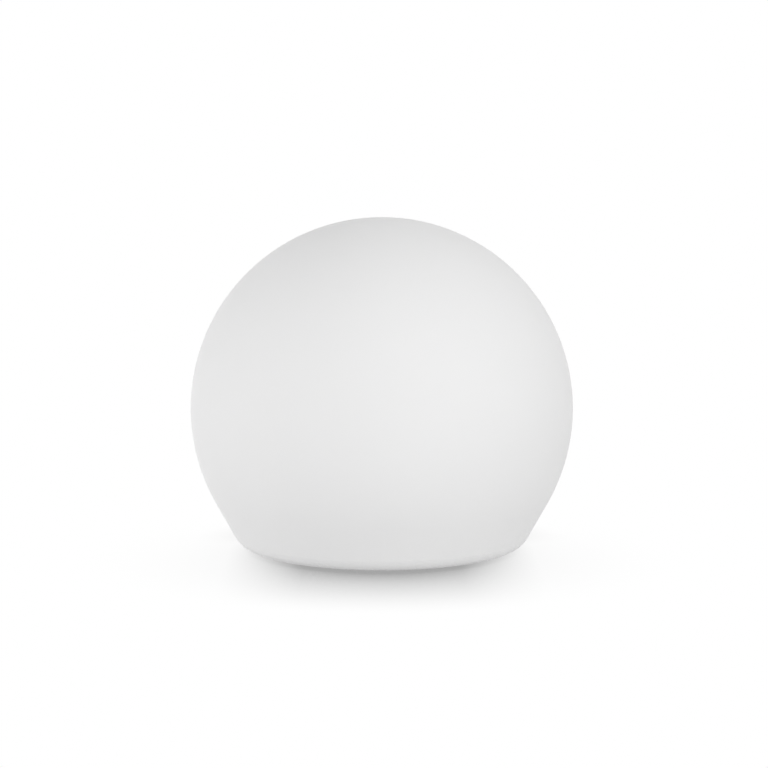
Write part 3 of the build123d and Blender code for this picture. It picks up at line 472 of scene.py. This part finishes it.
class Pattern(Nodes):
    """A geometry tree with named inputs for its sizes. Each run of it gives a plain mesh."""

    def __init__(self, name, counts, lengths, slot):
        self.group = bpy.data.node_groups.new(name, "GeometryNodeTree")
        super().__init__(self.group)
        self.slot = slot
        self.group.interface.new_socket("Geometry", in_out="OUTPUT", socket_type="NodeSocketGeometry")
        for kind, labels in (("NodeSocketInt", counts), ("NodeSocketFloat", lengths)):
            for label in labels:
                self.group.interface.new_socket(label, in_out="INPUT", socket_type=kind)
        self.entry = self.tree.nodes.new("NodeGroupInput")

    def size(self, label):
        return Value(self, self.entry.outputs[label])

    def vector(self, x=0.0, y=0.0, z=0.0):
        return self.node("ShaderNodeCombineXYZ", None, {"X": x, "Y": y, "Z": z})

    def place(self):
        """The place that the inputs x, y and z give."""
        return self.vector(*[self.size(axis) for axis in "xyz"])

    def index(self):
        return self.node("GeometryNodeInputIndex")

    def moved(self, geometry, place=None, turn=None, scale=None):
        inputs = {"Geometry": geometry, "Translation": place, "Rotation": turn, "Scale": scale}
        given = {key: value for key, value in inputs.items() if value}
        return self.node("GeometryNodeTransform", None, given)

    def row(self, count, step):
        """Points in a row, the first at the origin."""
        return self.node("GeometryNodeMeshLine", None, {"Count": count, "Offset": step}, "Mesh")

    def copies(self, points, piece, turn=None):
        inputs = {"Points": points, "Instance": piece}
        if turn:
            inputs["Rotation"] = turn
        return self.node("GeometryNodeInstanceOnPoints", None, inputs)

    def ring(self, piece):
        """Copies of a piece spread evenly about z, the first one turned by the input turn."""
        turns = self.vector(z=self.index() * (math.tau / self.size("count")) + self.size("turn"))
        points = self.row(self.size("count"), (0, 0, 0))
        return self.copies(points, piece, turns)

    def soft_block(self, x, y, z):
        """A block with softly rounded edges."""
        block = self.node("GeometryNodeMeshCube", None, {"Size": self.vector(x, y, z)}, "Mesh")
        inputs = {"Mesh": block, "Level": 2, "Edge Crease": 0.85}
        return self.node("GeometryNodeSubdivisionSurface", None, inputs)

    def joined(self, *parts):
        whole = self.tree.nodes.new("GeometryNodeJoinGeometry")
        for part in parts:
            self.tree.links.new(part.socket, whole.inputs[0])
        return Value(self, whole.outputs[0])

    def end(self, geometry):
        whole = self.node("GeometryNodeRealizeInstances", None, {"Geometry": geometry})
        inputs = {"Geometry": whole, "Material": finishes[self.slot]}
        dressed = self.node("GeometryNodeSetMaterial", None, inputs)
        self.tree.links.new(dressed.socket, self.tree.nodes.new("NodeGroupOutput").inputs[0])

    def run(self, **sizes):
        """Runs the tree with these sizes, in millimetres and degrees, and returns a plain mesh."""
        holder = bpy.data.objects.new("holder", bpy.data.meshes.new("holder"))
        bpy.context.scene.collection.objects.link(holder)
        modifier = holder.modifiers.new("pattern", "NODES")
        modifier.node_group = self.group
        for socket in self.group.interface.items_tree:
            if socket.in_out == "INPUT":
                modifier[socket.identifier] = scene_units(socket.name, sizes[socket.name])
        graph = bpy.context.evaluated_depsgraph_get()
        mesh = bpy.data.meshes.new_from_object(holder.evaluated_get(graph), depsgraph=graph)
        bpy.data.objects.remove(holder)
        return mesh


def place_piece(name, body, slot, meshes):
    """One piece of all these meshes, which rides on a body."""
    whole = bmesh.new()
    for mesh in meshes:
        whole.from_mesh(mesh)
    joined = bpy.data.meshes.new(name)
    whole.to_mesh(joined)
    whole.free()
    joined.materials.append(finishes[slot])
    for face in joined.polygons:
        face.material_index = 0
    joined.shade_smooth()
    joined.set_sharp_from_angle(angle=math.radians(sharp_angle))
    piece = bpy.data.objects.new(name, joined)
    bpy.context.scene.collection.objects.link(piece)
    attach(piece, body)
    return piece


def solder_pair_ring():
    """Solder beside both ends of each light package, round a circle."""
    sizes = ["circle", "reach", "width", "length", "height", "z", "turn"]
    made = Pattern("solder_pair_ring", ["count"], sizes, "nickel")
    drop = made.node("GeometryNodeMeshIcoSphere", None, {"Radius": 1.0, "Subdivisions": 2}, "Mesh")
    scale = made.vector(made.size("width"), made.size("length"), made.size("height"))
    drop = made.moved(drop, scale=scale)
    inner = made.moved(drop, made.vector(made.size("circle") - made.size("reach")))
    outer = made.moved(drop, made.vector(made.size("circle") + made.size("reach")))
    ring = made.ring(made.joined(inner, outer))
    made.end(made.moved(ring, made.vector(z=made.size("z"))))
    return made


def block_row(slot):
    """Softly rounded blocks in a row along x, turned as a whole about z."""
    lengths = ["pitch", "width", "depth", "height", "x", "y", "z", "turn"]
    made = Pattern(f"block_row_{slot}", ["count"], lengths, slot)
    block = made.soft_block(made.size("width"), made.size("depth"), made.size("height"))
    row = made.copies(made.row(made.size("count"), made.vector(made.size("pitch"))), block)
    row = made.moved(row, made.place())
    made.end(made.moved(row, turn=made.vector(z=made.size("turn"))))
    return made


def chip_legs():
    """Bent legs on all four sides of a chip. A leg runs out, drops to the board and runs out again."""
    lengths = ["pitch", "side", "stand", "run", "thick", "wide", "x", "y", "z"]
    made = Pattern("chip_legs", ["count"], lengths, "nickel")
    low = made.index() > 1.5
    bent = made.vector(made.index() * made.size("run"), 0.0, made.size("stand") * (1 - low))
    line = made.row(leg_bends, (mm, 0, 0))
    line = made.node("GeometryNodeSetPosition", None, {"Geometry": line, "Position": bent})
    line = made.node("GeometryNodeMeshToCurve", None, {"Mesh": line})
    profile = {"Width": made.size("thick"), "Height": made.size("wide")}
    profile = made.node("GeometryNodeCurvePrimitiveQuadrilateral", {"mode": "RECTANGLE"}, profile)
    inputs = {"Curve": line, "Profile Curve": profile, "Fill Caps": True}
    leg = made.node("GeometryNodeCurveToMesh", None, inputs)
    side = made.copies(made.row(made.size("count"), made.vector(y=made.size("pitch"))), leg)
    back = (made.size("count") - 1) * made.size("pitch") * -0.5
    side = made.moved(side, made.vector(made.size("side") / 2, back))
    turns = made.vector(z=made.index() * (math.tau / chip_sides))
    whole = made.copies(made.row(chip_sides, (0, 0, 0)), side, turns)
    made.end(made.moved(whole, made.place()))
    return made


def disc_ring(slot):
    """Low round discs in a circle."""
    made = Pattern(f"disc_ring_{slot}", ["count"], ["circle", "radius", "depth", "z", "turn"], slot)
    inputs = {"Vertices": 28, "Side Segments": 1}
    inputs |= {"Radius": made.size("radius"), "Depth": made.size("depth")}
    disc = made.node("GeometryNodeMeshCylinder", None, inputs, "Mesh")
    ring = made.ring(made.moved(disc, made.vector(made.size("circle"))))
    made.end(made.moved(ring, made.vector(z=made.size("z"))))
    return made


def round_coil():
    """Round wire wound in an open helix."""
    lengths = ["radius", "wire", "length", "x", "y", "z"]
    made = Pattern("round_coil", ["turns"], lengths, "spring_steel")
    inputs = {"Resolution": 40, "Rotations": made.size("turns"), "Height": made.size("length")}
    inputs |= {"Start Radius": made.size("radius"), "End Radius": made.size("radius")}
    path = made.node("GeometryNodeCurveSpiral", None, inputs)
    profile = {"Resolution": 12, "Radius": made.size("wire")}
    profile = made.node("GeometryNodeCurvePrimitiveCircle", {"mode": "RADIUS"}, profile)
    inputs = {"Curve": path, "Profile Curve": profile, "Fill Caps": True}
    coil = made.node("GeometryNodeCurveToMesh", None, inputs)
    made.end(made.moved(coil, made.place()))
    return made


def top_mm(node):
    """Height of a node's top, in millimetres."""
    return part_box(node)[1].z / mm


def make_light_board_parts():
    """Solder at the light packages, and eight small resistors between their two circles."""
    top = top_mm("led_board")
    solder = solder_pair_ring()
    rings = [
        solder.run(count=count, circle=circle, turn=turn, z=top, **package_solder)
        for count, circle, turn in package_rings
    ]
    place_piece("package_solder", "base", "nickel", rings)
    bodies = block_row("black_nylon")
    ends = block_row("nickel")
    common = dict(count=1, pitch=1.0, y=0.0, z=top + block_lift)
    resistors = [bodies.run(x=resistor_circle, turn=t, **resistor_body, **common) for t in resistor_turns]
    place_piece("light_board_resistors", "base", "black_nylon", resistors)
    solder = [
        ends.run(x=resistor_circle + side, turn=turn, **resistor_end, **common)
        for turn in resistor_turns
        for side in resistor_end_places
    ]
    place_piece("light_board_resistor_ends", "base", "nickel", solder)


def make_control_board_parts():
    """Legs of the chips, and rows of small resistors and capacitors round them."""
    top = top_mm("control_board")
    legs = chip_legs()
    common = dict(z=top + leg_lift, **leg_sizes)
    meshes = [
        legs.run(count=count, pitch=pitch, side=side, wide=pitch * leg_width_share, x=x, y=y, **common)
        for x, y, side, count, pitch in chips
    ]
    place_piece("chip_legs", "base", "nickel", meshes)
    bodies = block_row("grey_ring_plastic")
    ends = block_row("nickel")
    common = dict(pitch=small_part_pitch, turn=0.0, z=top + block_lift)
    meshes = [bodies.run(count=n, x=x, y=y, **small_part_body, **common) for x, y, n in small_part_rows]
    place_piece("small_board_parts", "base", "grey_ring_plastic", meshes)
    meshes = [
        ends.run(count=count, x=x + side, y=y, **small_part_end, **common)
        for x, y, count in small_part_rows
        for side in small_part_end_places
    ]
    place_piece("small_board_part_ends", "base", "nickel", meshes)


def make_ejector_marks():
    """Round marks that the mould's pins leave on the underside of the pan, between its ribs."""
    marks = disc_ring("white_polycarbonate")
    rings = [marks.run(turn=turn, **ejector_mark) for turn in ejector_mark_turns]
    place_piece("ejector_marks", "base", "white_polycarbonate", rings)


def make_return_spring():
    """The button's spring, a round coil that stands against the switch."""
    low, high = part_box("button_spring")
    joints = frame["record"]["behaviour"]["joints"]
    press = next(joint for joint in joints if joint["name"] == "button_press")
    travel = press["range_m"][1]
    height = high.z - low.z
    middle = (low + high) / 2 / mm
    radius = (high.x - low.x) / 2 / mm - spring_wire
    length = height / mm - 2 * spring_wire
    sizes = dict(turns=spring_turns, wire=spring_wire, radius=radius, length=length)
    coil = round_coil().run(x=middle.x, y=middle.y, z=low.z / mm + spring_wire, **sizes)
    spring = place_piece("return_spring", "base", "spring_steel", [coil])
    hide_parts("button_spring")
    1 - travel / height
    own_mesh(spring)


make_light_board_parts()
make_control_board_parts()
make_ejector_marks()
make_return_spring()


# ================= Studio =================

view_distance = 11 * globe_radius
view_elevation = math.radians(6.95)
picture_side = 768
globe_radius_px = 190.3
globe_centre_px = (381.8, 408.0)
sensor_mm = 36.0
background_rays = ("Camera", "Glossy", "Transmission")

# ---- The floor's painted shadow, metres ----
painted_shadow_reach = 0.12  # how far from the object it begins
painted_shadow_middle = dict(low=0.06, high=0.12, start=0.87, end=0.18)  # depth over the distance to each side
painted_contact_reach = 0.05
painted_contact_behind = dict(low=0.0, high=0.08, start=0.0, end=0.5)  # depth over the distance backwards


def make_camera():
    """Camera at the photograph's angle, which looks a little down from just above the ball's top."""
    camera = bpy.data.objects.new("camera", bpy.data.cameras.new("camera"))
    bpy.context.scene.collection.objects.link(camera)
    camera.data.sensor_width = sensor_mm
    camera.data.lens = globe_radius_px * view_distance / globe_radius / picture_side * sensor_mm
    camera.data.clip_end = 50
    back = Vector((0, -math.cos(view_elevation), math.sin(view_elevation)))
    metres_per_px = globe_radius / globe_radius_px
    right = (picture_side / 2 - globe_centre_px[0]) * metres_per_px
    above = (globe_centre_px[1] - picture_side / 2) * metres_per_px
    upright = Vector((0, math.sin(view_elevation), math.cos(view_elevation)))
    aim = equator + Vector((right, 0, 0)) + upright * above
    camera.location = equator + back * view_distance
    camera.rotation_euler = (aim - camera.location).to_track_quat("-Z", "Y").to_euler()
    bpy.context.scene.camera = camera


def make_softbox(name, place, size, power):
    """A soft light that faces the ball, and leaves no bright patch in what shines."""
    lamp = bpy.data.lights.new(name, "AREA")
    lamp.shape = "RECTANGLE"
    lamp.size, lamp.size_y = size
    lamp.energy = power
    box = bpy.data.objects.new(name, lamp)
    bpy.context.scene.collection.objects.link(box)
    box.location = place
    box.rotation_euler = (equator - Vector(place)).to_track_quat("-Z", "Y").to_euler()
    box.visible_camera = False
    box.visible_glossy = False


def make_world(plain, from_right, from_front):
    """White surroundings, whose light is stronger from the right and the front."""
    world = bpy.data.worlds.new("studio")
    world.use_nodes = True
    sky = Nodes(world.node_tree)
    x, y, _ = sky.split(sky.node("ShaderNodeTexCoord", output="Generated"))
    right = sky.math("MAXIMUM", x, 0.0)
    front = sky.math("MAXIMUM", y * -1, 0.0)
    strength = right * from_right + front * from_front + plain
    lit = sky.node("ShaderNodeBackground", None, {"Color": (1, 1, 1, 1), "Strength": strength})
    seen = sky.node("ShaderNodeBackground", None, {"Color": (1, 1, 1, 1), "Strength": 1.0})
    shown = sky.mix_shaders(sky.ray_is(*background_rays), lit, seen)
    sky.node("ShaderNodeOutputWorld", None, {"Surface": shown})
    bpy.context.scene.world = world


def nearness(finish, reach, samples, lean=None):
    """A number that is 0 on the open floor and grows to 1 close to the object."""
    inputs = {"Distance": reach}
    if lean:
        inputs["Normal"] = lean
    return 1 - finish.node("ShaderNodeAmbientOcclusion", {"samples": samples}, inputs, "AO")


def painted_floor_shadow(finish):
    """The object's shadow, painted into the floor's brightness from how near the object stands: wide in
    front, weaker to the sides, and narrow behind.
    """
    x, y, _ = finish.axes()
    backwards = finish.node("ShaderNodeCombineXYZ", None, {"Y": 1.0, "Z": 1.0})
    # painted shadow: ambient occlusion that leans backwards darkens the floor's camera-seen glow in front
    # of the object
    shadow = nearness(finish, painted_shadow_reach, 16, backwards) ** 2
    shadow = shadow * finish.ramp(finish.absolute(x), **painted_shadow_middle)
    contact = nearness(finish, painted_contact_reach, 8) ** 2
    return finish.math("MAXIMUM", shadow, contact * finish.ramp(y, **painted_contact_behind))


def floor_material(paint, glow):
    """To the light it is a pale floor that glows evenly. To the camera, and in reflections, it is white
    with the object's shadow painted in.

    From below it is clear.
    """
    finish = Finish("floor", (paint, paint, paint), 0.9)
    # the camera sees an emission whose strength carries the painted shadow
    seen = finish.node("ShaderNodeEmission", None, {"Strength": 1 - painted_floor_shadow(finish)})
    lit = finish.node("ShaderNodeBsdfDiffuse", None, {"Color": (paint, paint, paint, 1)})
    lamp = finish.node("ShaderNodeEmission", None, {"Strength": glow})
    lit = finish.node("ShaderNodeAddShader", None, {0: lit, 1: lamp})
    above = finish.mix_shaders(finish.ray_is(*background_rays), lit, seen)
    below = finish.node("ShaderNodeNewGeometry", output="Backfacing")
    finish.tree.nodes.remove(finish.shader)
    finish.surface(finish.mix_shaders(below, above, finish.node("ShaderNodeBsdfTransparent")))
    return finish.material


def make_floor(side, paint, glow):
    """A square floor, which lights the object from below and shows its painted shadow."""
    mesh = bpy.data.meshes.new("floor")
    half = side / 2
    corners = [(-half, -half, 0), (half, -half, 0), (half, half, 0), (-half, half, 0)]
    mesh.from_pydata(corners, [], [(0, 1, 2, 3)])
    floor = bpy.data.objects.new("floor", mesh)
    bpy.context.scene.collection.objects.link(floor)
    mesh.materials.append(floor_material(paint, glow))


make_camera()
make_world(plain=0.5, from_right=0.41, from_front=0.52)
make_floor(side=12.0, paint=0.45, glow=0.28)
make_softbox("key", place=(0.35, -1.6, 0.35), size=(0.5, 0.5), power=4.3)
make_softbox("left_low", place=(-1.0, 0.1, 0.02), size=(0.8, 0.2), power=4.2)
bpy.context.scene.view_settings.view_transform = "Standard"
